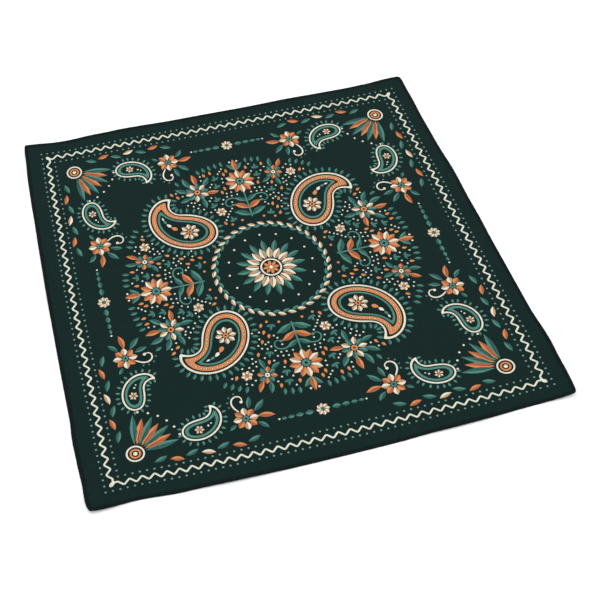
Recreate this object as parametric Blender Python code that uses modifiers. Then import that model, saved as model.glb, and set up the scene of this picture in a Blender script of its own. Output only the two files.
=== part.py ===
"""A square dog bandana that lies spread out on a surface, right side up.

It is one square of printed cotton with a narrow rolled hem along each side. Every piece is
made from the same two steps: a flat grid in the cut square, whose front left corner is
(0, 0), and then laid(), which says where each point of that square came to rest. The
underside lies on z = 0, apart from the curled corners and a few soft ripples at the hems.
Metres, with +X to the right, +Y away and +Z up. The origin is under the middle of the cloth's
bounding box.
"""
import math
from collections import namedtuple

import bmesh
import bpy
from mathutils import Vector

MM = 0.001

# Driving dimensions
SIDE = 550 * MM              # finished side of the square
PANEL_WALL = 1.0 * MM        # single cloth
HEM_WIDTH = 5.0 * MM
HEM_WALL = 1.8 * MM          # the cloth turned under twice
HEM_ROUND = 0.6 * MM         # rounding along the hem's folds
SEAM_GAP = 0.3 * MM          # clearance between neighbouring pieces

# How finely the pieces are divided
SPANS = 36                   # along a side, the same on the panel and the hems
HEM_SPANS = 2                # across a hem
ROUND_SEGMENTS = 2

# How the cloth lies
CURL_REACH = 60 * MM         # how far a corner's curl runs in from its tip
RIPPLE_REACH = 45 * MM       # how far a ripple's rise runs in from the hem
PULL_REACH = 80 * MM         # how far a ripple's pull runs in from the hem
BOW_REACH = SIDE / 2         # how far a side's bow runs in from the hem

# Where each corner of the square lies, and how high its tip curls (mm)
Corner = namedtuple("Corner", "across along x y curl")
CORNERS = (
    Corner(0, 0, -276.0, -271.0, 4.0),     # front left
    Corner(1, 0, 278.5, -279.0, 5.0),      # front right
    Corner(1, 1, 271.5, 280.5, 5.0),       # back right
    Corner(0, 1, -274.5, 270.0, 5.0),      # back left
)

# Each side of the square: the way out of it, and how far its middle bows out (mm)
Side = namedtuple("Side", "name out bow")
SIDES = (
    Side("front", (0, -1), 5.4),
    Side("right", (1, 0), 1.4),
    Side("back", (0, 1), -0.9),
    Side("left", (-1, 0), 3.7),
)

# Small ripples and pulls in the sides. "at" is a fraction of the side, from the left on the
# front and back and from the front on the left and right; the other columns are in mm.
Ripple = namedtuple("Ripple", "side at half_length pull rise")
RIPPLES = (
    Ripple("front", 0.10, 45, -2.6, 0.0),
    Ripple("front", 0.28, 70, 0.0, 1.5),
    Ripple("front", 0.74, 80, 0.0, 1.2),
    Ripple("front", 0.90, 45, -0.8, 0.0),
    Ripple("right", 0.14, 50, 1.9, 1.8),
    Ripple("right", 0.63, 70, 0.4, 2.0),
    Ripple("back", 0.10, 45, -1.3, 0.0),
    Ripple("back", 0.27, 60, 0.6, 1.2),
    Ripple("back", 0.66, 70, -0.6, 1.5),
    Ripple("left", 0.12, 50, 1.3, 0.0),
    Ripple("left", 0.55, 80, 0.2, 1.8),
    Ripple("left", 0.83, 60, 1.2, 0.0),
)

COLLECTION = "dog_bandana"
CLOTH_COLOUR = (0.012, 0.026, 0.025, 1.0)
HEM_COLOUR = (0.010, 0.022, 0.022, 1.0)
CLOTH_ROUGHNESS = 0.85


def on_side(name, u, v):
    """A point of the cut square as seen from one side: how far along it, and how far in."""
    return {
        "front": (u, v),
        "right": (v, SIDE - u),
        "back": (u, SIDE - v),
        "left": (v, u),
    }[name]


def from_side(name, along, inward):
    """The point of the cut square that lies so far along one side and so far in from it."""
    return {
        "front": (along, inward),
        "right": (SIDE - inward, along),
        "back": (along, SIDE - inward),
        "left": (inward, along),
    }[name]


def fading(distance, reach):
    """1 at no distance, falling softly to exactly 0 at the reach."""
    return max(0.0, 1.0 - distance / reach) ** 2


def hump(distance, half_length):
    """A cosine hump: 1 in its middle and 0 from half its length outward."""
    if abs(distance) >= half_length:
        return 0.0
    return math.cos(math.pi / 2 * distance / half_length) ** 2


def settled(u, v):
    """Where the underside of the cloth at (u, v) lies, before the whole is centred."""
    x = y = z = 0.0
    for corner in CORNERS:
        across = u / SIDE if corner.across else 1 - u / SIDE
        along = v / SIDE if corner.along else 1 - v / SIDE
        x += across * along * corner.x * MM
        y += across * along * corner.y * MM
        from_tip = math.hypot(u - corner.across * SIDE, v - corner.along * SIDE)
        z += corner.curl * MM * fading(from_tip, CURL_REACH)
    for side in SIDES:
        along, inward = on_side(side.name, u, v)
        bow = side.bow * MM * math.sin(math.pi * along / SIDE)
        outward = bow * fading(inward, BOW_REACH)
        for ripple in RIPPLES:
            if ripple.side == side.name:
                shape = hump(along - ripple.at * SIDE, ripple.half_length * MM)
                outward += ripple.pull * MM * shape * fading(inward, PULL_REACH)
                z += ripple.rise * MM * shape * fading(inward, RIPPLE_REACH)
        x += side.out[0] * outward
        y += side.out[1] * outward
    return Vector((x, y, z))


def hem_along(share, inward):
    """How far along its side a hem reaches at a share of its length, between its mitres."""
    mitre = inward + SEAM_GAP / math.sqrt(2)
    return mitre + share * (SIDE - 2 * mitre)


def centre_of_outline():
    """The middle of the laid cloth's bounding box, from the hems' outer stations."""
    outline = []
    for side in SIDES:
        for station in range(SPANS + 1):
            along = hem_along(station / SPANS, 0.0)
            outline.append(settled(*from_side(side.name, along, 0.0)))
    xs = [point.x for point in outline]
    ys = [point.y for point in outline]
    return Vector(((min(xs) + max(xs)) / 2, (min(ys) + max(ys)) / 2, 0.0))


CENTRE = centre_of_outline()


def laid(u, v):
    """Where the underside of the cloth at (u, v) of the cut square lies."""
    return settled(u, v) - CENTRE


def cloth_material(name, colour):
    material = bpy.data.materials.new(name)
    material.use_nodes = True
    shader = material.node_tree.nodes["Principled BSDF"]
    shader.inputs["Base Color"].default_value = colour
    shader.inputs["Roughness"].default_value = CLOTH_ROUGHNESS
    shader.inputs["Metallic"].default_value = 0.0
    return material


def cloth_piece(name, spans, place, wall, material, collection):
    """A wall of cloth over a grid of spans; place() puts a grid point, given as two shares."""
    grid = bmesh.new()
    bmesh.ops.create_grid(grid, x_segments=spans[0], y_segments=spans[1], size=0.5)
    for vertex in grid.verts:
        vertex.co = place(vertex.co.x + 0.5, vertex.co.y + 0.5)
    grid.normal_update()
    for face in grid.faces:
        if face.normal.z < 0:      # some sides run the other way round
            face.normal_flip()
    mesh = bpy.data.meshes.new(name)
    grid.to_mesh(mesh)
    grid.free()
    mesh.materials.append(material)
    piece = bpy.data.objects.new(name, mesh)
    collection.objects.link(piece)
    wall_modifier = piece.modifiers.new("Wall", "SOLIDIFY")
    wall_modifier.thickness = wall
    wall_modifier.offset = 1.0
    return piece


def build_panel(collection):
    """The printed square, inside its hems."""
    margin = HEM_WIDTH + SEAM_GAP

    def place(across, along):
        reach = SIDE - 2 * margin
        return laid(margin + across * reach, margin + along * reach)

    material = cloth_material("panel_cotton", CLOTH_COLOUR)
    return cloth_piece("panel", (SPANS, SPANS), place, PANEL_WALL, material, collection)


def build_hem(side, collection):
    """One side's rolled hem, mitred at both ends and rounded along its folds."""

    def place(share, depth):
        inward = depth * HEM_WIDTH
        return laid(*from_side(side.name, hem_along(share, inward), inward))

    name = "hem_" + side.name
    material = cloth_material(name + "_cotton", HEM_COLOUR)
    hem = cloth_piece(name, (SPANS, HEM_SPANS), place, HEM_WALL, material, collection)
    fold = hem.modifiers.new("Folds", "BEVEL")
    fold.width = HEM_ROUND
    fold.segments = ROUND_SEGMENTS
    fold.limit_method = "ANGLE"
    fold.angle_limit = math.radians(40)
    return hem


def main():
    for old in list(bpy.data.objects):
        bpy.data.objects.remove(old, do_unlink=True)
    collection = bpy.data.collections.new(COLLECTION)
    bpy.context.scene.collection.children.link(collection)
    build_panel(collection)
    for side in SIDES:
        build_hem(side, collection)


main()
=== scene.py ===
"""The looks of a square dog bandana that lies spread out flat, right side up.

Its printed cotton is one thin shell whose faces follow the outlines of the print, with an ink
for each face. Round it run four rolled hems and the thread that holds them. Every piece is made
in the cut square, where u runs to the right and v away from the front left corner, and laid()
says where a point of that square came to rest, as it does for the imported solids.
"""
import math
from collections import namedtuple

import bpy
import numpy as np
from mathutils import Matrix, Vector
from mathutils.geometry import delaunay_2d_cdt


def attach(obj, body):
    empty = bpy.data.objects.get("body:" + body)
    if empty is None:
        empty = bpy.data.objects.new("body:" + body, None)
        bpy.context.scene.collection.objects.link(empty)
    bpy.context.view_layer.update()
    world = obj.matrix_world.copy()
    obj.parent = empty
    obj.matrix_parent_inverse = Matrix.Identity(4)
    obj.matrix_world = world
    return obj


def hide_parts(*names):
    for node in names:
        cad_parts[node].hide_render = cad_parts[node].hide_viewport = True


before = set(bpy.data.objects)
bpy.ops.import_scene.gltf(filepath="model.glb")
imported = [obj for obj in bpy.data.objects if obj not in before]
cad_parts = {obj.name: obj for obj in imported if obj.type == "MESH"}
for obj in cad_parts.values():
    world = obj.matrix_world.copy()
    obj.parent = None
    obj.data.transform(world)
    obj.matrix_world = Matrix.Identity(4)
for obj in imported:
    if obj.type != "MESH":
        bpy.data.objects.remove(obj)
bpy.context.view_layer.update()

MM = 0.001

# -------- how the cloth lies (mm)
SIDE = 550.0          # finished side of the square
CURL_REACH = 60.0     # how far a corner's curl runs in from its tip
RIPPLE_REACH = 45.0   # how far a ripple's rise runs in from the hem
PULL_REACH = 80.0     # how far a ripple's pull runs in from the hem
BOW_REACH = SIDE / 2  # how far a side's bow runs in from the hem

Corner = namedtuple("Corner", "across along x y curl")
CORNERS = (
    Corner(0, 0, -276.0, -271.0, 4.0),     # front left
    Corner(1, 0, 278.5, -279.0, 5.0),      # front right
    Corner(1, 1, 271.5, 280.5, 5.0),       # back right
    Corner(0, 1, -274.5, 270.0, 5.0),      # back left
)
Side = namedtuple("Side", "name out bow")
SIDES = (
    Side("front", (0, -1), 5.4),
    Side("right", (1, 0), 1.4),
    Side("back", (0, 1), -0.9),
    Side("left", (-1, 0), 3.7),
)
# Small ripples and pulls in the sides: at is a share of the side, from its left or front end
Ripple = namedtuple("Ripple", "side at half_length pull rise")
RIPPLES = (
    Ripple("front", 0.10, 45, -2.6, 0.0),
    Ripple("front", 0.28, 70, 0.0, 1.5),
    Ripple("front", 0.74, 80, 0.0, 1.2),
    Ripple("front", 0.90, 45, -0.8, 0.0),
    Ripple("right", 0.14, 50, 1.9, 1.8),
    Ripple("right", 0.63, 70, 0.4, 2.0),
    Ripple("back", 0.10, 45, -1.3, 0.0),
    Ripple("back", 0.27, 60, 0.6, 1.2),
    Ripple("back", 0.66, 70, -0.6, 1.5),
    Ripple("left", 0.12, 50, 1.3, 0.0),
    Ripple("left", 0.55, 80, 0.2, 1.8),
    Ripple("left", 0.83, 60, 1.2, 0.0),
)
# Soft ridges in the cloth, each from one point of the cut square to another
Ridge = namedtuple("Ridge", "u0 v0 u1 v1 half_width rise")
RIDGES = (
    Ridge(28, 60, 122, 168, 15, 0.55),
    Ridge(150, 22, 196, 118, 12, 0.45),
    Ridge(398, 30, 352, 142, 16, 0.40),
    Ridge(520, 66, 418, 158, 13, 0.50),
    Ridge(528, 342, 402, 318, 18, 0.60),
    Ridge(508, 500, 430, 402, 14, 0.50),
    Ridge(362, 524, 330, 420, 12, 0.40),
    Ridge(148, 530, 176, 446, 15, 0.35),
    Ridge(40, 498, 128, 402, 13, 0.55),
    Ridge(26, 302, 138, 276, 17, 0.45),
)
RIDGE_WANDER = 5.0  # how far a ridge strays to either side
RIDGE_TURN = 4.0    # how far that wandering gets along a ridge, in radians

# Slight unevenness of the outline, in the outermost cloth only, as rows of a place on the side,
# as in RIPPLES, half the length and the pull
EASES = {
    "front": ((0.06, 40, -0.3), (0.20, 50, -0.8), (0.67, 38, -0.6), (0.84, 40, -0.4)),
    "right": ((0.065, 28, 1.7), (0.115, 22, 0.5), (0.50, 45, 0.9), (0.66, 40, 0.4),
              (0.91, 35, 1.1)),
    "back": ((0.04, 22, 0.5), (0.09, 25, 0.4), (0.17, 50, 1.4), (0.24, 24, 0.7),
             (0.42, 130, 0.9), (0.68, 40, 0.5), (0.76, 50, 0.5), (0.89, 26, 0.8),
             (0.945, 30, 1.8)),
    "left": ((0.03, 20, 0.7), (0.165, 25, 0.8), (0.70, 70, 0.6), (0.90, 35, 0.8)),
}
EASE_REACH = 22.0  # how far an ease runs in from the hem
# How far the tip of each corner is drawn in, to the right and away, how far that reaches, and
# the rounding of the hem there, seen from above
Tip = namedtuple("Tip", "across along right away reach rounding")
TIPS = (
    Tip(0, 0, 2.0, 0.3, 12.0, 2.2),
    Tip(1, 0, -2.9, 0.5, 20.0, 3.6),
    Tip(1, 1, -1.9, -1.8, 15.0, 5.0),
    Tip(0, 1, 1.6, -0.5, 20.0, 3.0),
)

# -------- the cloth's section (mm)
CLOTH = 0.55      # thickness of the single cloth
CLEARANCE = 0.03  # the underside's height over the surface
TUCK = 3.0        # how far in from the edge the single cloth ends, inside its hem
HEM_STEP = 5.0    # how far in from the edge the turned cloth reaches
MITRE_GAP = 0.03  # between two hems, at a corner
# The rolled hem's section, from the inner underside round the outer fold: how far in from the
# edge each point is, and its height
HEM_SECTION = (
    (5.15, 0.42), (4.95, 0.12), (4.50, 0.03), (2.50, 0.03), (0.95, 0.05),
    (0.25, 0.25), (0.00, 0.72), (0.20, 1.18), (0.80, 1.50), (1.75, 1.62),
    (2.75, 1.52), (3.60, 1.24), (4.20, 1.03), (4.80, 0.96), (5.20, 0.86),
)


def fading(distance, reach):
    return np.clip(1 - distance / reach, 0, 1) ** 2


def hump(distance, half_length):
    near = np.clip(np.abs(distance) / half_length, 0, 1)
    return np.cos(math.pi / 2 * near) ** 2


def on_side(name, u, v):
    """A point of the cut square as seen from one side: how far along it, and how far in."""
    return {
        "front": (u, v),
        "right": (v, SIDE - u),
        "back": (u, SIDE - v),
        "left": (v, u),
    }[name]


def from_side(name, along, inward):
    """The point of the cut square that lies so far along one side and so far in from it."""
    return {
        "front": (along, inward),
        "right": (SIDE - inward, along),
        "back": (along, SIDE - inward),
        "left": (inward, along),
    }[name]


def settled(u, v):
    """Where the underside of the cloth at (u, v) lies, as an array of points in mm."""
    x = np.zeros_like(u)
    y = np.zeros_like(u)
    z = np.zeros_like(u)
    for corner in CORNERS:
        across = u / SIDE if corner.across else 1 - u / SIDE
        along = v / SIDE if corner.along else 1 - v / SIDE
        x += across * along * corner.x
        y += across * along * corner.y
        from_tip = np.hypot(u - corner.across * SIDE, v - corner.along * SIDE)
        z += corner.curl * fading(from_tip, CURL_REACH)
    for side in SIDES:
        along, inward = on_side(side.name, u, v)
        outward = side.bow * np.sin(math.pi * along / SIDE) * fading(inward, BOW_REACH)
        for ripple in RIPPLES:
            if ripple.side == side.name:
                shape = hump(along - ripple.at * SIDE, ripple.half_length)
                outward += ripple.pull * shape * fading(inward, PULL_REACH)
                z += ripple.rise * shape * fading(inward, RIPPLE_REACH)
        x += side.out[0] * outward
        y += side.out[1] * outward
    return np.stack([x, y, z], axis=-1)


def centre_of_outline():
    """The middle of the laid cloth's bounding box."""
    along = np.linspace(0, SIDE, 400)
    edges = [settled(*from_side(side.name, along, np.zeros_like(along))) for side in SIDES]
    outline = np.concatenate(edges)
    centre = (outline.min(axis=0) + outline.max(axis=0)) / 2
    centre[2] = 0.0
    return centre


CENTRE = centre_of_outline()


def ridges(u, v):
    """The rise of the soft ridges, which fade out at both ends."""
    rise = np.zeros_like(u)
    for ridge in RIDGES:
        start = np.array([ridge.u0, ridge.v0])
        way = np.array([ridge.u1, ridge.v1]) - start
        length = np.hypot(*way)
        along = ((u - start[0]) * way[0] + (v - start[1]) * way[1]) / length
        across = ((u - start[0]) * way[1] - (v - start[1]) * way[0]) / length
        wander = RIDGE_WANDER * np.sin(along / length * RIDGE_TURN + ridge.u0)
        ends = hump(along - length / 2, length / 2)
        rise += ridge.rise * ends * hump(across - wander, ridge.half_width)
    return rise


# Waves that add up to the gathering along a line of stitches; turn is in radians a millimetre
Wave = namedtuple("Wave", "height turn by_seed start")
PUCKER_WAVES = (
    Wave(0.45, 0.83, 1.0, 0.0),
    Wave(0.30, 0.517, 2.1, 1.3),
    Wave(0.25, 1.37, 0.7, 0.4),
)
PUCKER_SWELL = Wave(0.35, 0.061, 3.0, 0.0)  # the share that comes and goes along the hem


def pucker(along, seed):
    """The uneven gathering of the cloth along a line of stitches, from about -1 to 1."""
    def swing(wave):
        return wave.height * np.sin(along * wave.turn + wave.by_seed * seed + wave.start)

    return sum(map(swing, PUCKER_WAVES)) * (1 - PUCKER_SWELL.height + swing(PUCKER_SWELL))


def eased(u, v):
    """How far the outermost cloth is shifted to the right and away."""
    right = np.zeros_like(u)
    away = np.zeros_like(u)
    for side in SIDES:
        along, inward = on_side(side.name, u, v)
        near = fading(inward, EASE_REACH)
        for at, half_length, pull in EASES[side.name]:
            outward = pull * hump(along - at * SIDE, half_length) * near
            right += side.out[0] * outward
            away += side.out[1] * outward
    for tip in TIPS:
        near = fading(np.hypot(u - tip.across * SIDE, v - tip.along * SIDE), tip.reach)
        right += tip.right * near
        away += tip.away * near
    return right, away


def laid(u, v, height=0.0):
    """Where a point of the cloth lies, in metres: height is in mm over the underside."""
    u, v = np.broadcast_arrays(np.asarray(u, float), np.asarray(v, float))
    points = settled(u, v) - CENTRE
    right, away = eased(u, v)
    points[..., 0] += right
    points[..., 1] += away
    points[..., 2] += ridges(u, v) + height
    return points * MM


# -------- the print (mm)
# Inks of the print and of the hem, as sRGB colours; rim, the hem's ink, is the ground painted
# darker as shade along the rolled edge
INKS = {
    "ground": (14, 34, 32),
    "rim": (10, 23, 22),
    "cream": (215, 209, 193),
    "pale": (204, 207, 190),
    "orange": (198, 126, 78),
    "amber": (176, 140, 104),
    "rust": (160, 90, 60),
    "teal": (73, 123, 111),
    "deep": (46, 88, 82),
    "bead": (108, 138, 126),
}
ORANGES = ("orange", "rust")
TEALS = ("teal", "deep")
CREAMS = ("cream", "amber")
CIRCLE = 2 * math.pi

FRAME_HALF = 247.0     # half the side of the square that the wavy line runs round
WAVES = 36             # along each side of the frame
WAVE_POINTS = 16       # along each wave
WAVE_END = 6.2         # how far from the frame's corner the wave turns to its diagonal
WAVE_HEIGHT = 2.5
WAVE_SHARPNESS = 0.06  # narrows the crests and troughs
WAVE_LINE = 2.1        # width of the line
MEETING_INSET = 1.8    # how far in from both sides their lines meet
BAR_INSET = 4.2        # how far in from both sides the bar out of the corner starts
BAR = {"length": 8.8, "width": 4.6, "belly": 0.6, "soft": 0.45}
DotRow = namedtuple("DotRow", "outset count")
DOT_ROWS = (
    DotRow(-8.8, 59),
    DotRow(7.75, 63),
)
DOT_RADIUS = 1.20
# Where the frame lies in the cut square, and how far its middle is pulled to the low end
PrintReach = namedtuple("PrintReach", "low high pull")
REACH_ACROSS = PrintReach(28.5, 521.1, 0.066)
REACH_ALONG = PrintReach(25.6, 521.9, 0.086)


def on_cloth(outline):
    """Where points of the print, given from its middle, lie in the cut square."""
    def placed(position, reach):
        share = (position / FRAME_HALF + 1) / 2
        return reach.low + (reach.high - reach.low) * (share - reach.pull * share * (1 - share))

    return placed(outline.real, REACH_ACROSS) + 1j * placed(outline.imag, REACH_ALONG)


def polar(radius, degrees):
    return radius * np.exp(1j * math.radians(degrees))


def spine(length, bend, curl, steps=48):
    """A curve from 0 along +X that turns by bend in all, most of it late where curl is high."""
    share = np.linspace(0, 1, steps + 1)
    heading = bend * share ** (1 + curl)
    step = np.exp(0.5j * (heading[1:] + heading[:-1])) * length / steps
    return share, np.concatenate([[0], np.cumsum(step)]), heading


def on_spine(length, bend, curl, at):
    """The point and the heading at a share of a spine's length."""
    share, along, heading = spine(length, bend, curl)
    place = np.interp(at, share, along.real) + 1j * np.interp(at, share, along.imag)
    return place, np.interp(at, share, heading)


def blade(length, width, bend=0.0, curl=0.0, belly=0.5, soft=1.0, span=(0, 1), points=9):
    """A leaf, petal or teardrop along a curved spine; belly is where it is widest."""
    local = (1 - np.cos(np.pi * np.linspace(0, 1, points + 1))) / 2
    middle, heading = on_spine(length, bend, curl, span[0] + (span[1] - span[0]) * local)
    half = width / 2 * np.sin(np.pi * local ** (math.log(0.5) / math.log(belly))) ** soft
    normal = 1j * np.exp(1j * heading)
    return np.concatenate([middle + normal * half, (middle - normal * half)[-2:0:-1]])


def disc(radius, at=0, points=10):
    return at + radius * np.exp(1j * CIRCLE * np.arange(points) / points)


def dot(ink, radius, at=0):
    return ink, disc(radius, at, points=8)


def moved(shapes, at=0, turn=0.0):
    """Shapes turned by so many degrees about 0 and then moved."""
    return [(ink, at + polar(1, turn) * outline) for ink, outline in shapes]


def mirrored(shapes):
    return [(ink, outline.conj()) for ink, outline in shapes]


def both_ways(shapes):
    return shapes + mirrored(shapes)


def around(shapes, count, radius=0.0, start=0.0, turn=0.0):
    """Copies of the shapes, evenly round a circle."""
    ring = []
    for number in range(count):
        angle = start + 360 * number / count
        ring += moved(shapes, polar(radius, angle), angle + turn)
    return ring


def inside(points, outline):
    """Which of the points lie inside a closed outline."""
    ahead = np.roll(outline, -1)
    low = outline.imag[:, None] <= points.imag
    high = ahead.imag[:, None] <= points.imag
    side = ((ahead - outline)[:, None].conj() * (points - outline[:, None])).imag
    winding = (low & ~high & (side > 0)).sum(axis=0) - (~low & high & (side < 0)).sum(axis=0)
    return winding != 0


RIB_LEAST = 0.7          # width of the finest rib
RIB_SHARE = 0.09         # of the leaf's width
RIB_SPAN = (0.12, 0.72)  # of the leaf's length


def leaf(length, width, inks, bend=0.0, belly=0.5, rib=True):
    """A leaf or petal with one half in a deeper ink and, where it is large, a fine rib."""
    whole = blade(length, width, bend, belly=belly)
    turn = len(whole) // 2 + 1
    local = (1 - np.cos(np.pi * np.linspace(0, 1, turn))) / 2
    middle, _ = on_spine(length, bend, 0.0, local)
    shapes = [(inks[0], whole), (inks[1], np.concatenate([middle, whole[turn:]]))]
    if rib:
        fine = max(RIB_LEAST, width * RIB_SHARE)
        line = blade(length, fine, bend, belly=0.3, soft=0.6, span=RIB_SPAN, points=6)
        shapes.append(("ground", line))
    return shapes


def daisy(petals, inner, outer, width, inks, core, eye="orange"):
    """A round flower whose petals take the pairs of inks in turn; core is its eye's radius."""
    shapes = []
    for number in range(petals):
        petal = leaf(outer - inner, width, inks[number % len(inks)], belly=0.58, rib=False)
        angle = 360 * number / petals
        shapes += moved(petal, polar(inner, angle), angle)
    return shapes + [("ground", disc(core * 1.25)), (eye, disc(core)), dot("ground", core * 0.4)]


TENDRIL_FORM = {"bend": 4.6, "curl": 0.9}
TENDRIL_WIDTH = 1.9


def tendril(length, ink, beads):
    """A curled line with a bead in its curl and a few more along its outer side."""
    line = blade(length, TENDRIL_WIDTH, belly=0.35, soft=0.3, points=20, **TENDRIL_FORM)
    tip, _ = on_spine(length, at=1.0, **TENDRIL_FORM)
    shapes = [(ink, line), (ink, disc(TENDRIL_WIDTH, tip))]
    for number in range(beads):
        place, heading = on_spine(length, at=0.28 + 0.5 * number / beads, **TENDRIL_FORM)
        outward = place - 4.2j * np.exp(1j * heading)
        shapes.append(dot("cream" if ink == "teal" else "teal", 1.15, outward))
    return shapes


def along_outline(outline, count):
    """Evenly spaced places on a closed outline, and the direction out of it there."""
    step = np.abs(np.diff(np.append(outline, outline[0])))
    run = np.concatenate([[0], np.cumsum(step)])[:-1]
    for number in range(count):
        at = int(np.searchsorted(run, (number + 0.5) / count * step.sum())) % len(outline)
        travel = outline[(at + 2) % len(outline)] - outline[at - 2]
        yield outline[at], math.degrees(np.angle(1j * travel))


def border():
    """The wavy line between its two rows of dots, with a bar out of each corner."""
    along = np.linspace(-FRAME_HALF, FRAME_HALF, WAVES * WAVE_POINTS + 1)
    turn = CIRCLE * WAVES * (along / FRAME_HALF + 1) / 2
    wave = WAVE_HEIGHT * (np.cos(turn) + WAVE_SHARPNESS * np.cos(3 * turn))
    line = (along + 1j * (FRAME_HALF + wave))[np.abs(along) < FRAME_HALF - WAVE_END]
    meeting = (FRAME_HALF - MEETING_INSET) * (1 + 1j)
    line = np.concatenate([[-meeting.conjugate()], line, [meeting]])
    travel = np.gradient(line)
    normal = 1j * travel / np.abs(travel) * WAVE_LINE / 2
    shapes = around([("pale", np.concatenate([line + normal, (line - normal)[::-1]]))], 4)
    shapes += around([("pale", blade(**BAR))], 4, (FRAME_HALF - BAR_INSET) * math.sqrt(2), 45)
    for row in DOT_ROWS:
        places = (FRAME_HALF + row.outset) * (2 * np.arange(row.count) / row.count - 1 + 1j)
        shapes += around([dot("bead", DOT_RADIUS, place) for place in places], 4)
    return shapes


# A teardrop's layers, lowest first; start and end are shares of its length
Layer = namedtuple("Layer", "ink start end inset")
Paisley = namedtuple("Paisley", "length width bend points layers")
LARGE_PAISLEY = Paisley(116.0, 56.0, -2.9, 44, (
    Layer("cream", 0, 1, 0),
    Layer("ground", 0.02, 0.96, 4.2),
    Layer("orange", 0.04, 0.92, 8.0),
    Layer("ground", 0.09, 0.82, 18),
    Layer("teal", 0.11, 0.785, 21.5),
    Layer("ground", 0.135, 0.74, 26),
))
SMALL_PAISLEY = Paisley(62.0, 27.0, -2.6, 26, (
    Layer("cream", 0, 1, 0),
    Layer("ground", 0.03, 0.93, 4),
    Layer("teal", 0.06, 0.86, 7.5),
    Layer("ground", 0.12, 0.74, 13),
))
# Drops on the spine of the large paisley; at is a share of its length
Drop = namedtuple("Drop", "at length width ink")
DROPS = (
    Drop(0.45, 9, 5.4, "orange"),
    Drop(0.53, 7.5, 4.2, "cream"),
    Drop(0.60, 6.5, 3.4, "teal"),
    Drop(0.655, 5, 2.4, "cream"),
)


def teardrop(form, inset=0.0, span=(0, 1), points=200):
    return blade(form.length, form.width - inset, form.bend, curl=1.0, belly=0.33, soft=0.75,
                 span=span, points=points)


def layers_of(form):
    return [(layer.ink, teardrop(form, layer.inset, (layer.start, layer.end), form.points))
            for layer in form.layers]


def inside_paisley(form, at):
    """The place and the heading, in degrees, at a share of its length."""
    place, heading = on_spine(form.length, form.bend, 1.0, at)
    return place, math.degrees(heading)


def paisley():
    """A large teardrop with a dotted band, a flower in its head and a fringe of small leaves."""
    shapes = []
    for place, outward in along_outline(teardrop(LARGE_PAISLEY, -5), 36):
        shapes += moved(leaf(8.6, 4.0, TEALS, rib=False), place, outward)
    shapes += layers_of(LARGE_PAISLEY)
    for place, _ in along_outline(teardrop(LARGE_PAISLEY, 13.2, span=(0.065, 0.87)), 34):
        shapes += [dot("ground", 1.5, place), dot("cream", 0.95, place)]
    head, _ = inside_paisley(LARGE_PAISLEY, 0.31)
    shapes += moved(daisy(8, 3.2, 12.6, 5.8, [CREAMS], 3.5), head)
    for drop in DROPS:
        outline = blade(drop.length, drop.width, belly=0.4, soft=0.8)
        shapes += moved([(drop.ink, outline)], *inside_paisley(LARGE_PAISLEY, drop.at))
    return shapes


def small_paisley():
    shapes = []
    for place, outward in along_outline(teardrop(SMALL_PAISLEY, -3.4, points=80), 22):
        shapes += moved([("teal", blade(5.6, 2.8))], place, outward)
    shapes += layers_of(SMALL_PAISLEY)
    head, _ = inside_paisley(SMALL_PAISLEY, 0.32)
    shapes += moved(daisy(6, 1.2, 5.4, 3.0, [CREAMS], 1.5), head)
    for at, radius in ((0.50, 1.2), (0.57, 0.9)):
        shapes.append(dot("cream", radius, inside_paisley(SMALL_PAISLEY, at)[0]))
    return shapes


# Pairs of leaves on a sprig's stem; at is how far up the stem they start
StemLeaf = namedtuple("StemLeaf", "at length width turn inks")
STEM = 62
STEM_LEAVES = (
    StemLeaf(3, 24, 8.8, 50, TEALS),
    StemLeaf(15, 21, 8.4, 46, ORANGES),
    StemLeaf(27, 18, 6.5, 46, TEALS),
)


def sprig():
    """A flower on a straight stem along +X, with pairs of leaves, tendrils and a bud on top."""
    shapes = [("teal", blade(STEM, 2.2, belly=0.2, soft=0.4))]
    for pair in STEM_LEAVES:
        one = moved(leaf(pair.length, pair.width, pair.inks, bend=0.5), pair.at, pair.turn)
        shapes += both_ways(one)
    shapes += both_ways(moved(tendril(38, "teal", 4), 32 + 8j, 58))
    shapes += moved(daisy(12, 4, 20, 7.4, [CREAMS, ORANGES], 5.0, "teal"), STEM)
    shapes += both_ways(moved(leaf(17, 6.5, TEALS, bend=0.6), STEM + 19, 24))
    shapes += moved(leaf(20, 7.5, ORANGES), STEM + 19)
    return shapes + both_ways([dot("cream", 1.4, STEM + 35 + 5j)])


def rosette():
    """The round flower in the middle of the medallion."""
    shapes = around([dot("cream", 1.4)], 16, 53)
    shapes += around(leaf(20, 7.0, TEALS, rib=False), 16, 24)
    shapes += around(leaf(19, 8.6, CREAMS), 16, 13, 11.25)
    for ink, radius, points in (("ground", 15.5, 32), ("cream", 13.5, 32), ("ground", 11.4, 28)):
        shapes.append((ink, disc(radius, points=points)))
    shapes += around([("orange", blade(7.6, 4.0, soft=0.7))], 8, 2.6)
    return shapes + [("cream", disc(2.6))]


def wreath():
    """A ring of small leaves round the rosette."""
    shapes = around(leaf(11.5, 5.0, CREAMS, bend=0.25, rib=False), 36, 69, turn=62)
    return shapes + around(leaf(11, 4.8, TEALS, bend=-0.25, rib=False), 36, 70, 5, turn=118)


# Leaves behind a flower between the paisleys and the sprigs
SprayLeaf = namedtuple("SprayLeaf", "turn length inks")
WIDE_SPRAY = (
    SprayLeaf(-28, 20, ORANGES),
    SprayLeaf(12, 20, TEALS),
    SprayLeaf(52, 19, TEALS),
    SprayLeaf(98, 17, TEALS),
    SprayLeaf(-72, 19, TEALS),
    SprayLeaf(-128, 18, ORANGES),
    SprayLeaf(176, 18, TEALS),
)
NARROW_SPRAY = (
    SprayLeaf(22, 17, TEALS),
    SprayLeaf(-24, 17, ORANGES),
    SprayLeaf(150, 15, TEALS),
    SprayLeaf(-160, 16, TEALS),
)


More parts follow.
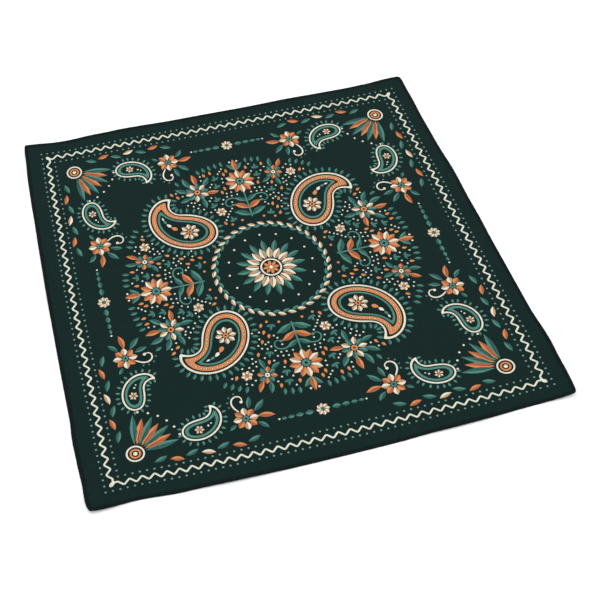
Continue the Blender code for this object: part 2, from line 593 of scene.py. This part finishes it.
def spray(outer, petals, inks, eye, leaves):
    """A flower of that outer radius with leaves behind it."""
    shapes = []
    for one in leaves:
        bend = -0.4 if one.turn > 0 else 0.4
        behind = leaf(one.length, one.length * 0.36, one.inks, bend=bend)
        shapes += moved(behind, polar(outer * 0.72, one.turn), one.turn)
    width = outer * 3.9 / petals
    return shapes + daisy(petals, outer * 0.22, outer, width, inks, outer * 0.25, eye)


def sprays():
    """The flowers in the gaps between the paisleys and the sprigs."""
    wide = spray(16.0, 10, [CREAMS, TEALS], "orange", WIDE_SPRAY)
    narrow = spray(12.0, 8, [ORANGES, TEALS], "cream", NARROW_SPRAY)
    return around(wide, 4, 153, 113) + around(narrow, 4, 158, 72.5)


Filler = namedtuple("Filler", "clearance pitch motif")


def fillers():
    """The small motifs that fill bare ground, widest first, each with the room that it needs."""
    bloom = daisy(6, 1.0, 7.0, 4.6, [CREAMS], 1.9)
    trefoil = []
    for turn, length in ((-56, 6.4), (56, 6.4), (0, 8.8)):
        trefoil += moved(leaf(length, 3.5, TEALS, rib=False), -3.4, turn)
    drop = [("orange", blade(6.6, 3.6, belly=0.4) - 3.3)]
    return (
        Filler(9.2, 18.0, bloom),
        Filler(6.8, 13.0, trefoil),
        Filler(4.6, 9.2, drop),
        Filler(3.0, 6.4, [dot("pale", 1.2)]),
    )


SPACING = 1.6  # of the points that stand for what is already drawn
MARGIN = 12    # how far past the first quarter they are kept


def dense(shapes):
    """Closely spaced points on the outlines of the shapes, in the first quarter and its edges."""
    marks = []
    for _, outline in shapes:
        step = np.roll(outline, -1) - outline
        if max(outline.real.max(), outline.imag.max()) > 0:
            parts = math.ceil(np.abs(step).max() / SPACING)
            marks += [outline + step * part / parts for part in range(parts)]
    marks = np.concatenate(marks)
    return marks[(marks.real > -MARGIN) & (marks.imag > -MARGIN)]


def on_bare_ground(filler, rows, taken, solids):
    """Copies of a motif along rings, four alike each time, wherever nothing is in the way."""
    fresh = []
    for row, radius in enumerate(rows):
        count = 4 * max(1, round(CIRCLE * radius / 4 / filler.pitch))
        for step in range(count // 4):
            angle = 360 * (step + 0.5 * (row % 2)) / count
            place = polar(radius, angle)
            clear = np.abs(taken - place).min() > filler.clearance
            if clear and not any(inside(np.array([place]), solid)[0] for solid in solids):
                motif = around(filler.motif, 4, radius, angle)
                fresh += motif
                taken = np.concatenate([taken, dense(motif)])
    return fresh, taken


PAISLEY_RING = {"count": 4, "radius": 90, "start": 33}
PAISLEY_TURN = 55       # of each paisley, from the direction out of the middle
FRINGE_RADIUS = 180.0   # of the outermost ring of leaves
BERRY_RADIUS = 83.0     # of the ring of berries, just outside the wreath
FILLED = (90.0, 174.0)  # the radii between which small motifs fill the bare ground


def medallion():
    """The wreathed rosette, with four paisleys that chase each other and four sprigs."""
    hull = moved([("cream", teardrop(LARGE_PAISLEY, points=30))], 0, PAISLEY_TURN)
    solids = [outline for _, outline in around(hull, **PAISLEY_RING)]
    shapes = sprays() + around(sprig(), 4, 84)
    shapes += around(moved(paisley(), 0, PAISLEY_TURN), **PAISLEY_RING) + wreath() + rosette()
    taken = dense(shapes)
    fringe = Filler(5.6, 8.6, moved(leaf(9.5, 4.4, TEALS, rib=False), -4.0))
    berry = Filler(3.2, 14.3, [("orange", disc(1.7, points=10))])
    for filler, radius in ((fringe, FRINGE_RADIUS), (berry, BERRY_RADIUS)):
        fresh, taken = on_bare_ground(filler, [radius], taken, solids)
        shapes += fresh
    for filler in fillers():
        rows = np.arange(*FILLED, filler.pitch / 2)
        fresh, taken = on_bare_ground(filler, rows, taken, solids)
        shapes += fresh
    return shapes


FAN_STEP = 12.6  # degrees between the fan's leaves


def fan():
    """Seven leaves that spread out of a ringed eye, towards +X, with a row of dots round them."""
    shapes = []
    for step in range(-3, 4):
        length, inks = ((34, ORANGES), (39, TEALS))[step % 2]
        angle = FAN_STEP * step
        shapes += moved(leaf(length, 8.0, inks), polar(12, angle), angle)
    for step in range(-3, 3):
        shapes.append(dot("cream", 1.4, polar(54, FAN_STEP * (step + 0.5))))
    for ink, radius in (("ground", 12.5), ("cream", 10.5), ("ground", 8.6), ("orange", 6.4),
                        ("ground", 4.2), ("cream", 2.4)):
        shapes.append((ink, disc(radius, points=24)))
    return shapes


# Places in a corner are given from the frame's corner: along its side, and in from it
CORNER_FLOWER = 148 + 33j
FLOWER_TENDRIL = 118  # the direction in which a tendril leaves the flower
FlowerLeaf = namedtuple("FlowerLeaf", "turn length width inks bend")
FLOWER_LEAVES = (
    FlowerLeaf(66, 16, 6.0, TEALS, 0.3),
    FlowerLeaf(34, 19, 6.5, TEALS, 0.3),
    FlowerLeaf(2, 20, 6.8, ORANGES, -0.4),
    FlowerLeaf(-32, 15, 5.5, TEALS, -0.4),
    FlowerLeaf(204, 10, 4.4, TEALS, 0.3),
)
CHAIN_LEAVES = 7


def corner_half():
    """What lies along one side of a corner: the side runs along +X, the middle is at +Y."""
    shapes = []
    for number in range(CHAIN_LEAVES):
        inks = (TEALS, ORANGES, TEALS, CREAMS)[number % 4]
        chain = leaf(16, 5.8, inks, bend=0.35 * (-1) ** number, rib=False)
        shapes += moved(chain, 38 + 17.5 * number + 4j, (8, -5)[number % 2])
    shapes += moved(mirrored(small_paisley()), 75 + 34j, -10)
    root = CORNER_FLOWER + polar(12, FLOWER_TENDRIL)
    shapes += moved(mirrored(tendril(38, "cream", 4)), root, FLOWER_TENDRIL + 10)
    for one in FLOWER_LEAVES:
        behind = leaf(one.length, one.width, one.inks, bend=one.bend)
        shapes += moved(behind, CORNER_FLOWER + polar(13.5, one.turn), one.turn)
    return shapes + moved(daisy(8, 3, 14.5, 7.4, [CREAMS, ORANGES], 3.6, "teal"), CORNER_FLOWER)


def corner_group():
    """A fan and its neighbours: the frame's corner is at 0 and the middle lies along +X."""
    return moved(fan(), 28) + both_ways(moved(corner_half(), 0, -45))


def side_group():
    """A short row of leaves either side of a small flower, along +X."""
    half = []
    for at, length, width in ((10.5, 10.5, 6.2), (22, 9.5, 5.6), (32.5, 8, 4.8), (41.5, 6.5, 4.0)):
        half += moved(leaf(length, width, TEALS, rib=False), at)
    half.append(dot("cream", 1.2, 50.5))
    shapes = half + moved(half, 0, 180)
    return shapes + daisy(8, 1.2, 8.0, 4.6, [CREAMS], 2.2, "teal")


CORNER_INSET = 13  # of a corner group from the frame's corner, across and along
SIDE_INSET = 36    # of a side group from the frame's side


def whole_print():
    """Every shape of the print, lowest first."""
    reach = (FRAME_HALF - CORNER_INSET) * math.sqrt(2)
    shapes = border() + around(moved(corner_group(), 0, 180), 4, reach, 45)
    shapes += around(moved(side_group(), 0, 90), 4, FRAME_HALF - SIDE_INSET)
    return shapes + medallion()


# -------- meshes
TOP_SHARE = 0.80            # of the baked map's side that the right side of the cloth takes
UNDER_STRIP = (0.82, 0.99)  # the strip of the baked map that the underside takes
MAP_MARGIN = 0.01           # round the hem in its own baked map
RIM_SPANS = 181             # of each side of the single cloth's edge
# Rows of extra points near the hem, on the right side and on the underside
GATHER_ROWS = (3.9, 4.8, 5.8, 7.2, 9.0, 11.5, 15.0, 20.0)
UNDER_ROWS = (4.8, 6.6, 9.0, 15.0)
FINE_REACH = 12       # rows nearer to the edge than this have twice the points
GRID_INSET = 26       # how far in from the edge the even grid of points starts
TOP_GRID = 64         # points along each side of that grid
UNDER_GRID = 44
SHOWS_THROUGH = 0.22  # of the print's contrast that the underside shows
UNDER_TONE = 1.25     # brightness of the underside's ground, against the right side's
SHOWN_LENGTH = 10.9   # of the shortest shape that shows through


def ink_colour(ink):
    """An ink as a linear colour."""
    srgb = np.array(INKS[ink]) / 255
    return np.where(srgb <= 0.04045, srgb / 12.92, ((srgb + 0.055) / 1.055) ** 2.4)


def corner_data(mesh, colours, cut, baked):
    """Gives a mesh its ink colour and its two maps, from arrays with a row for each corner."""
    paint = mesh.attributes.new("ink", "FLOAT_COLOR", "CORNER")
    paint.data.foreach_set("color", np.hstack([colours, np.ones((len(colours), 1))]).ravel())
    for layer, rows in (("OFBake", baked), ("cut", cut)):
        mesh.uv_layers.new(name=layer).data.foreach_set("uv", rows.ravel())


def new_object(name, data):
    made = bpy.data.objects.new(name, data)
    bpy.context.scene.collection.objects.link(made)
    return made


def make_object(name, points, faces, material):
    mesh = bpy.data.meshes.new(name)
    mesh.from_pydata(points.tolist(), [], faces)
    mesh.shade_smooth()
    mesh.materials.append(material)
    return new_object(name, mesh)


def cloth_rim():
    """The edge of the single cloth, all round it from its front left corner."""
    middle = SIDE / 2 * (1 + 1j)
    front = np.linspace(TUCK, SIDE - TUCK, RIM_SPANS + 1)[:-1] + 1j * TUCK - middle
    return middle + np.concatenate([front * 1j ** turn for turn in range(4)])


def rows_by_hem(insets):
    """Points in rows along each side of the square, so far in from it."""
    rows = []
    for inset in insets:
        count = RIM_SPANS + 1 if inset < FINE_REACH else RIM_SPANS // 2
        along = np.linspace(inset, SIDE - inset, count)
        rows += [along + 1j * inset, along + 1j * (SIDE - inset),
                 inset + 1j * along, SIDE - inset + 1j * along]
    return rows


def square_grid(count):
    steps = np.linspace(GRID_INSET, SIDE - GRID_INSET, count)
    return [(steps[:, None] + 1j * steps[None, :]).ravel()]


def length_of(outline):
    """The length of a shape, whichever way it is turned."""
    return 2 * np.abs(outline - outline.mean()).max()


Plan = namedtuple("Plan", "u v triangles colours")


def cloth_plan(shapes, loose):
    """The flat triangulation of the cloth along the outlines of the shapes, its rim first."""
    outlines = [cloth_rim()] + [on_cloth(outline) for _, outline in shapes]
    edges = []
    for outline in outlines:
        first = len(edges)
        last = first + len(outline) - 1
        edges += [(corner, corner + 1) for corner in range(first, last)] + [(last, first)]
    flat = [Vector((point.real, point.imag)) for point in np.concatenate(outlines + loose)]
    verts, _, triangles, *_ = delaunay_2d_cdt(flat, edges, [], 0, 1e-4, False)
    u, v = np.array([tuple(vert) for vert in verts]).T
    triangles = np.array(triangles)
    middle = (u + 1j * v)[triangles].mean(axis=1)
    top_shape = np.zeros(len(triangles), dtype=int)
    for number, outline in enumerate(outlines[1:], start=1):
        near = np.flatnonzero(
            (middle.real > outline.real.min()) & (middle.real < outline.real.max())
            & (middle.imag > outline.imag.min()) & (middle.imag < outline.imag.max()))
        top_shape[near[inside(middle[near], outline)]] = number
    inks = np.array([ink_colour(ink) for ink in ["ground"] + [ink for ink, _ in shapes]])
    return Plan(u, v, triangles, inks[top_shape])


GATHER = 0.10     # height of the gathering beside the stitches
GATHER_REACH = 14.0
GATHER_LIMITS = (-0.08, 0.12)
LIFT_REACH = 5.0  # how far in from the turned cloth the single cloth comes down
UNDER_LIFT = 0.32
OVER_LIFT = 0.40


def cloth_heights(u, v):
    """The heights of the cloth's underside and right side over the laid surface, in mm."""
    inward = np.minimum(np.minimum(u, SIDE - u), np.minimum(v, SIDE - v))
    gather = np.zeros_like(u)
    for number, side in enumerate(SIDES):
        along, depth = on_side(side.name, u, v)
        near = fading(depth - HEM_STEP, GATHER_REACH)
        gather += GATHER * pucker(along * 0.8, number + 1.0) * near
    lift = fading(inward - HEM_STEP, LIFT_REACH)
    under = CLEARANCE + UNDER_LIFT * lift
    over = CLEARANCE + CLOTH + OVER_LIFT * lift + np.clip(gather, *GATHER_LIMITS)
    return under, over


def make_cloth(material):
    """The printed single cloth: its right side, its underside and the edge between them."""
    shapes = whole_print()
    shown = [(ink, outline) for ink, outline in shapes if length_of(outline) > SHOWN_LENGTH]
    over = cloth_plan(shapes, rows_by_hem(GATHER_ROWS) + square_grid(TOP_GRID))
    under = cloth_plan(shown, rows_by_hem(UNDER_ROWS) + square_grid(UNDER_GRID))
    points = np.concatenate([
        laid(over.u, over.v, cloth_heights(over.u, over.v)[1]),
        laid(under.u, under.v, cloth_heights(under.u, under.v)[0]),
    ])
    below = len(over.u)
    rim = 4 * RIM_SPANS
    walls = [((at + 1) % rim, at, below + at, below + (at + 1) % rim) for at in range(rim)]
    faces = over.triangles.tolist() + (under.triangles[:, ::-1] + below).tolist() + walls
    piece = make_object("printed_square", points, faces, material)
    plain = ink_colour("ground")
    ghost = plain * UNDER_TONE + (under.colours - plain) * SHOWS_THROUGH
    colours = np.concatenate([np.repeat(over.colours, 3, axis=0), np.repeat(ghost, 3, axis=0),
                              np.tile(plain, (4 * rim, 1))])
    flat = np.concatenate([np.stack([plan.u, plan.v], axis=-1) for plan in (over, under)]) / SIDE
    top, bottom, edge = (flat[np.array(part).ravel()] for part in (
        over.triangles, under.triangles[:, ::-1] + below, walls))
    strip = UNDER_STRIP[1] - UNDER_STRIP[0]
    baked = np.concatenate([
        top * TOP_SHARE,
        bottom * (TOP_SHARE, strip) + (0, UNDER_STRIP[0]),
        edge * TOP_SHARE,
    ])
    corner_data(piece.data, colours, np.concatenate([top, bottom, edge]), baked)
    return piece


def rounded(u, v):
    """Pulls the tips of the square in to round corners."""
    u = u.copy()
    v = v.copy()
    for tip in TIPS:
        away_u = tip.rounding - np.abs(u - tip.across * SIDE)
        away_v = tip.rounding - np.abs(v - tip.along * SIDE)
        near = (away_u > 0) & (away_v > 0)
        reach = np.where(near, np.hypot(away_u, away_v), 1)
        shrink = 1 - np.maximum(away_u, away_v) / reach
        u[near] += ((1 - 2 * tip.across) * away_u * shrink)[near]
        v[near] += ((1 - 2 * tip.along) * away_v * shrink)[near]
    return u, v


def tube_faces(first, rings, sides):
    """The faces of a closed tube of rings of points; first is its first point's number."""
    faces = []
    for ring in range(rings - 1):
        for step in range(sides):
            a = first + ring * sides + step
            b = first + ring * sides + (step + 1) % sides
            faces.append((a, b, b + sides, a + sides))
    last = first + (rings - 1) * sides
    faces.append(tuple(range(first, first + sides))[::-1])
    faces.append(tuple(range(last, last + sides)))
    return faces


def facing_out(faces, side):
    """A tube's faces, turned outward: from_side() mirrors two of the sides."""
    return [face[::-1] for face in faces] if side.name in ("right", "front") else faces


HEM_SPANS = 640     # along each hem
CALM_ENDS = 8.0     # how far from a mitre the roll is fully uneven
ROLL_RISE = 0.10    # unevenness of the roll's crown
ROPE_RISE = 0.05    # height of the slanting ropes on it
ROPE_TURN = 1.02    # of the ropes along the hem, in radians a millimetre
ROPE_SLANT = 0.85   # and across it
CROWN_INWARD = 1.8  # of the crown's middle, from the edge
CROWN_REACH = 1.6
CROWN_BASE = 0.3    # the height over which the roll is uneven
FOLD_WAVER = 0.10   # of the outer fold, seen from above
FOLD_DEPTH = 0.3    # how far in from the edge that reaches


def hem_points(side, number):
    """The hem's section at each station, from one mitre to the other."""
    share = np.linspace(0, 1, HEM_SPANS + 1)
    uneven = np.clip(np.minimum(share, 1 - share) * SIDE / CALM_ENDS, 0, 1)
    rows = []
    for inward, height in HEM_SECTION:
        mitre = inward + MITRE_GAP / 2
        along = mitre + share * (SIDE - 2 * mitre)
        roll = pucker(along, number + 1.0)
        rope = np.sin(along * ROPE_TURN - inward * ROPE_SLANT + 1.6 * roll)
        crown = math.exp(-((inward - CROWN_INWARD) / CROWN_REACH) ** 2) * (height > CROWN_BASE)
        rise = (ROLL_RISE * roll + ROPE_RISE * rope) * crown * uneven
        waver = FOLD_WAVER * pucker(along * 0.6, number + 5.0) * (inward < FOLD_DEPTH) * uneven
        u, v = rounded(*from_side(side.name, along, inward + waver))
        rows.append(laid(u, v, height + rise))
    return np.stack(rows, axis=1).reshape(-1, 3)


def make_hem(side, number, material):
    """One rolled hem, a closed strip with mitred ends and an uneven, stitched-down roll."""
    stations = HEM_SPANS + 1
    section = np.array(HEM_SECTION)
    faces = facing_out(tube_faces(0, stations, len(section)), side)
    piece = make_object("rolled_hem_" + side.name, hem_points(side, number), faces, material)
    corners = np.concatenate([np.array(face) for face in faces])
    run = np.concatenate([[0], np.cumsum(np.hypot(*np.diff(section, axis=0).T))])
    along = np.repeat(np.linspace(0, 1, stations), len(section))
    round_it = np.tile(run / (run[-1] + 1), stations)
    u, v = from_side(side.name, along * SIDE, np.tile(section[:, 0], stations))
    cut = np.stack([u, v], axis=-1)[corners] / SIDE
    baked = np.stack([along, round_it], axis=-1)[corners] * (1 - 2 * MAP_MARGIN) + MAP_MARGIN
    # The hem's rim ink is its ground colour painted darker, as painted shade of the rolled edge.
    corner_data(piece.data, np.tile(ink_colour("rim"), (len(corners), 1)), cut, baked)
    return piece


STITCH_LINE = 4.3    # how far in from the edge the stitches run
STITCH_START = 0.6   # of the first stitch, from the corner of that line
STITCH_PITCH = 2.75
STITCH_LENGTH = 2.25
STITCH_WAVER = 0.12  # how far a stitch is off its even place
THREAD_RADIUS = 0.19
THREAD_SIDES = 6
StitchRing = namedtuple("StitchRing", "at sink width")
STITCH_RINGS = (
    StitchRing(0.00, 1.0, 0.35),
    StitchRing(0.12, 0.45, 0.85),
    StitchRing(0.50, 0.0, 1.0),
    StitchRing(0.88, 0.45, 0.85),
    StitchRing(1.00, 1.0, 0.35),
)
# The stitches on the right side and on the underside; swell is the thread's height to its width
Seam = namedtuple("Seam", "height sink swell")
SEAMS = (
    Seam(1.07, -0.22, 1.0),
    Seam(0.10, 0.22, 0.5),
)


def stitch_points(side, number, seam):
    """The points of the stitches along one hem, with a row for each stitch."""
    count = np.arange(int((SIDE - 2 * STITCH_LINE - 1) / STITCH_PITCH))
    waver = STITCH_WAVER * pucker(count * 2.3, number)
    start = STITCH_LINE + STITCH_START + count * STITCH_PITCH + waver
    rows = []
    for ring in STITCH_RINGS:
        along = start + ring.at * STITCH_LENGTH
        for step in range(THREAD_SIDES):
            edge = polar(THREAD_RADIUS * ring.width, 360 * step / THREAD_SIDES)
            u, v = from_side(side.name, along, np.full_like(along, STITCH_LINE + edge.real))
            rows.append(laid(u, v, seam.height + ring.sink * seam.sink + edge.imag * seam.swell))
    return np.stack(rows, axis=1)


def make_stitches(material):
    """The thread along every hem, on the right side and on the underside."""
    points = []
    faces = []
    for number, side in enumerate(SIDES):
        for seam in SEAMS:
            for stitch in stitch_points(side, number, seam):
                faces += facing_out(tube_faces(len(points), len(STITCH_RINGS), THREAD_SIDES), side)
                points.extend(stitch)
    return make_object("hem_stitching", np.array(points), faces, material)


# -------- materials
THREADS_PER_SIDE = 1180  # warp threads across the square, and as many weft
THREAD_WANDER = 2.4      # of the threads from their even places, in radians
# How fine the slubs of the weft and of the warp are
SLUBS = ((420.0, 34.0, 1.0), (30.0, 460.0, 1.0))
TONE = 0.94       # of the threads on average, against the ink
SLUB_TONE = 0.55  # and how far slubs, dye and weave each change that tone
DYE_TONE = 0.14
# The weave's share is partly the ink lying on the crests, partly painted shade in the gaps and
# painted sheen on the crests.
WEAVE_INK_AND_SHADE = 0.26
FUZZ_AND_SHEEN = 0.0020     # how much loose fibres and a painted sheen on the threads' crests lighten the ink


class Nodes:
    """A material's nodes, added one by one."""

    def __init__(self, name):
        self.material = bpy.data.materials.new(name)
        self.material.use_nodes = True
        self.tree = self.material.node_tree
        self.shader = self.tree.nodes["Principled BSDF"]

    def feed(self, node, inputs):
        """Gives inputs of a node, by name or number, their values or links."""
        for name, value in inputs.items():
            socket = node.inputs[name]
            if isinstance(value, bpy.types.NodeSocket):
                self.tree.links.new(value, socket)
            else:
                socket.default_value = value

    def add(self, kind, inputs, **settings):
        node = self.tree.nodes.new("ShaderNode" + kind)
        for name, value in settings.items():
            setattr(node, name, value)
        self.feed(node, inputs)
        return node

    def math(self, operation, a, b=0.0):
        return self.add("Math", {0: a, 1: b}, operation=operation).outputs[0]

    def swing(self, value, middle, strength):
        """How far a value is off its middle, times a strength."""
        return self.math("MULTIPLY", self.math("SUBTRACT", value, middle), strength)


def cotton(name):
    """Printed plain-weave cotton: the ink of each face, its threads, slubs and uneven dye, with
    painted shade in the gaps of the weave and painted sheen on its crests.
    """
    n = Nodes(name)
    cut = n.add("UVMap", {}, uv_map="cut").outputs[0]
    split = n.add("SeparateXYZ", {0: cut})
    drift = n.add("TexNoise", {"Vector": cut, "Scale": 160.0, "Detail": 1.0}).outputs[0]
    wander = n.swing(drift, 0.5, THREAD_WANDER)
    count = math.pi * THREADS_PER_SIDE
    warp = n.math("SINE", n.math("ADD", n.math("MULTIPLY", split.outputs[0], count), wander))
    weft = n.math("SINE", n.math("ADD", n.math("MULTIPLY", split.outputs[1], count), wander))
    over = n.math("ADD", n.math("MULTIPLY", n.math("MULTIPLY", warp, weft), 2.0), 0.5)
    over = n.add("Clamp", {0: over}).outputs[0]
    crest = n.add("Mix", {0: over, 2: n.math("ABSOLUTE", weft), 3: n.math("ABSOLUTE", warp)})
    weave = crest.outputs[0]
    slubs = []
    for stretch in SLUBS:
        grain = n.add("Mapping", {"Vector": cut, "Scale": stretch}).outputs[0]
        slub = n.add("TexNoise", {"Vector": grain, "Scale": 1.0, "Detail": 2.0})
        slubs.append(slub.outputs[0])
    slub = n.math("ADD", slubs[0], slubs[1])  # about 1 on average
    dye = n.add("TexNoise", {"Vector": cut, "Scale": 9.0, "Detail": 3.0}).outputs[0]
    tone = n.math("ADD", n.swing(slub, 1.0, SLUB_TONE), TONE)
    tone = n.math("ADD", tone, n.swing(dye, 0.5, DYE_TONE))
    # The weave darkens the gaps and lightens the crests: partly ink on the crests, partly painted
    # shade and painted sheen.
    tone = n.math("ADD", tone, n.swing(weave, 0.55, WEAVE_INK_AND_SHADE))
    ink = n.add("Attribute", {}, attribute_name="ink").outputs["Color"]
    colour = n.add("VectorMath", {0: ink, "Scale": tone}, operation="SCALE")
    # Loose fibres and a painted sheen lighten the ink on the threads' crests.
    fuzz_and_sheen = n.math("MULTIPLY", n.math("MULTIPLY", weave, slub), FUZZ_AND_SHEEN)
    with_fuzz_and_sheen = n.add("VectorMath", {0: colour.outputs[0], 1: fuzz_and_sheen}, operation="ADD")
    rough = n.math("ADD", n.swing(slub, 1.0, 0.3), 0.86)
    relief = n.math("ADD", n.math("MULTIPLY", weave, 0.45), n.math("MULTIPLY", slub, 0.6))
    bump = n.add("Bump", {"Strength": 0.45, "Distance": 0.12 * MM, "Height": relief})
    n.feed(n.shader, {"Base Color": with_fuzz_and_sheen.outputs[0], "Roughness": rough,
                      "Normal": bump.outputs[0], "Specular IOR Level": 0.05,
                      "Sheen Weight": 0.01, "Sheen Roughness": 0.5})
    return n.material


def thread_material():
    """Spun polyester thread as dark as the hem's painted-shade ink, with its twist painted in
    light and dark bands as painted highlight and painted shade.
    """
    n = Nodes("thread")
    place = n.add("NewGeometry", {}).outputs["Position"]
    twist = n.add("TexWave", {"Vector": place, "Scale": 900.0, "Distortion": 1.5},
                  wave_type="BANDS", bands_direction="DIAGONAL").outputs["Fac"]
    # The twist's bands are painted shade and painted highlight on the rim ink, which is itself
    # painted shade.
    low = (*(ink_colour("rim") * 0.9), 1.0)
    high = (*(ink_colour("rim") * 1.5), 1.0)
    shade = n.add("Mix", {0: twist, 6: low, 7: high}, data_type="RGBA")
    bump = n.add("Bump", {"Strength": 0.5, "Distance": 0.05 * MM, "Height": twist})
    n.feed(n.shader, {"Base Color": shade.outputs[2], "Normal": bump.outputs[0],
                      "Roughness": 0.6, "Specular IOR Level": 0.12})
    return n.material


def floor_material():
    n = Nodes("pale_floor")
    place = n.add("NewGeometry", {}).outputs["Position"]
    mottle = n.add("TexNoise", {"Vector": place, "Scale": 3.0, "Detail": 3.0}).outputs[0]
    shade = n.add("Mix", {0: mottle, 6: (0.95, 0.95, 0.95, 1), 7: (0.98, 0.98, 0.98, 1)},
                  data_type="RGBA")
    n.feed(n.shader, {"Base Color": shade.outputs[2], "Roughness": 0.9,
                      "Specular IOR Level": 0.0})
    return n.material


# -------- stage
CAMERA_PLACE = (-213.8, -677.6, 886.9)  # mm from the middle of the wavy frame, as on the photo
CAMERA_AIM = (11.4, -69.1, 0.0)
CAMERA_ROLL = math.radians(4.20)
FOCAL_PIXELS = 910.9
PICTURE_PIXELS = 600
SENSOR = 36.0
FLOOR_HALF = 4.0                        # half the floor's side, in metres
Softbox = namedtuple("Softbox", "name place size power")
SOFTBOXES = (
    Softbox("softbox_left", (-0.9, 0.9, 2.2), 2.0, 18.0),
    Softbox("softbox_right", (1.0, -0.3, 2.4), 2.2, 10.0),
)


def make_camera():
    data = bpy.data.cameras.new("camera")
    data.sensor_fit = "HORIZONTAL"
    data.sensor_width = SENSOR
    data.lens = SENSOR * FOCAL_PIXELS / PICTURE_PIXELS
    data.clip_start = 0.05
    data.clip_end = 20.0
    camera = new_object("camera", data)
    shift = Vector(CENTRE)
    place = Vector(CAMERA_PLACE) - shift
    look = (Vector(CAMERA_AIM) - shift - place).normalized()
    turn = look.to_track_quat("-Z", "Y").to_matrix()
    turn = Matrix.Rotation(-CAMERA_ROLL, 3, look) @ turn
    camera.matrix_world = Matrix.Translation(place * MM) @ turn.to_4x4()
    bpy.context.scene.camera = camera


def make_light(softbox):
    """An area light that faces the middle of the cloth."""
    data = bpy.data.lights.new(softbox.name, "AREA")
    data.size = softbox.size
    data.energy = softbox.power
    lamp = new_object(softbox.name, data)
    lamp.location = softbox.place
    lamp.rotation_euler = (-Vector(softbox.place)).to_track_quat("-Z", "Y").to_euler()


def make_stage():
    world = bpy.data.worlds.new("studio")
    world.use_nodes = True
    sky = world.node_tree.nodes["Background"]
    sky.inputs["Color"].default_value = (1.0, 1.0, 1.0, 1.0)
    sky.inputs["Strength"].default_value = 1.0
    bpy.context.scene.world = world
    for softbox in SOFTBOXES:
        make_light(softbox)
    corners = np.array([(-1, -1, 0), (1, -1, 0), (1, 1, 0), (-1, 1, 0)]) * FLOOR_HALF
    floor = make_object("floor", corners, [(0, 1, 2, 3)], floor_material())
    bpy.context.scene.view_settings.view_transform = "Standard"


def main():
    make_camera()
    make_stage()
    cloth = make_cloth(cotton("printed_cotton"))
    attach(cloth, "root")
    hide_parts("panel")
    hem_cotton = cotton("hem_cotton")
    for number, side in enumerate(SIDES):
        hem = make_hem(side, number, hem_cotton)
        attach(hem, "root")
        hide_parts("hem_" + side.name)
    stitches = make_stitches(thread_material())
    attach(stitches, "root")


main()
